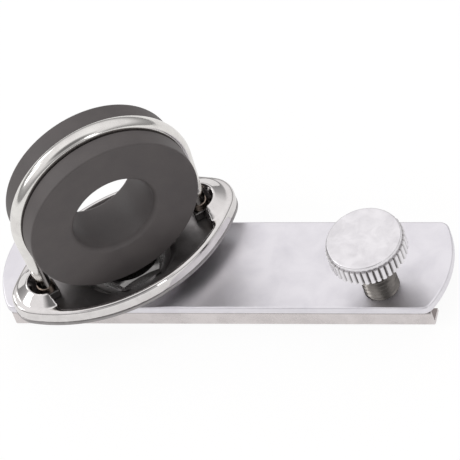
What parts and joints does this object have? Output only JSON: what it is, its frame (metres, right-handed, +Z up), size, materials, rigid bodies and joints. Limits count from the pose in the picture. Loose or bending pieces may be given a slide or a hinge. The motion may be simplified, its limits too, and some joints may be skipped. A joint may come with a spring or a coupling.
{
  "type": "sheet lead car",
  "caption": "Sheet lead car for a sail track: folded channel and flat plate with a knurled clamp screw and a swivelling oval base that holds a black bull's-eye in a wire hoop.",
  "frame": {"origin": "under the middle of the top plate, on the plane of the channel's underside", "axes": "+X along the track from the swivel to the clamp screw, +Z up out of the deck, +Y across the track to the side away from the clamp screw"},
  "size_m": [0.1284, 0.0482, 0.0675],
  "materials": {
    "plate_steel": "satin",
    "channel_steel": "satin",
    "polished_steel": "polished",
    "head_steel": "satin, turned",
    "bolt_steel": "dull",
    "bush_bronze": "machined",
    "braze_bronze": "dull",
    "washer_plastic": "matt",
    "black_eye": "matt, turned"
  },
  "bodies": {
    "car": {"track_channel": "channel_steel", "top_plate": "plate_steel", "plate_rivets": "plate_steel", "pivot_bolt": "bolt_steel", "thrust_washer": "washer_plastic", "spring_washer": "bolt_steel"},
    "swivel": {"pivot_bush": "bush_bronze", "sole_plate": "polished_steel", "sole_screws": "bolt_steel", "base_rim": "polished_steel", "wire_hoop": "polished_steel", "leg_nuts": "bolt_steel", "leg_ferrules": "braze_bronze"},
    "eye": {"bulls_eye": "black_eye"},
    "clamp": {"clamp_pad": "braze_bronze"},
    "thumb_screw": {"knurled_head": "head_steel", "screw_stud": "bolt_steel"}
  },
  "joints": [
    {"name": "base_swivel", "type": "hinge", "parent": "car", "child": "swivel", "pos_m": [-0.0275, 0, 0.0094], "axis": [0, 0, 1], "continuous": true},
    {"name": "eye_turn", "type": "hinge", "parent": "swivel", "child": "eye", "pos_m": [-0.0275, 0, 0.0404], "axis": [0.6018, -0.7986, 0], "continuous": true},
    {"name": "screw_travel", "type": "slide", "parent": "car", "child": "clamp", "axis": [0, 0, 1], "range_m": [-0.00375, 0.0015]},
    {"name": "screw_turn", "type": "hinge", "parent": "clamp", "child": "thumb_screw", "pos_m": [0.0458, -0.0072, 0.02], "axis": [0, 0, 1], "range_deg": [-900, 360]}
  ],
  "couplings": [
    {"joint": "screw_turn", "follows": "screw_travel", "rad_per_m": 4188.8}
  ]
}
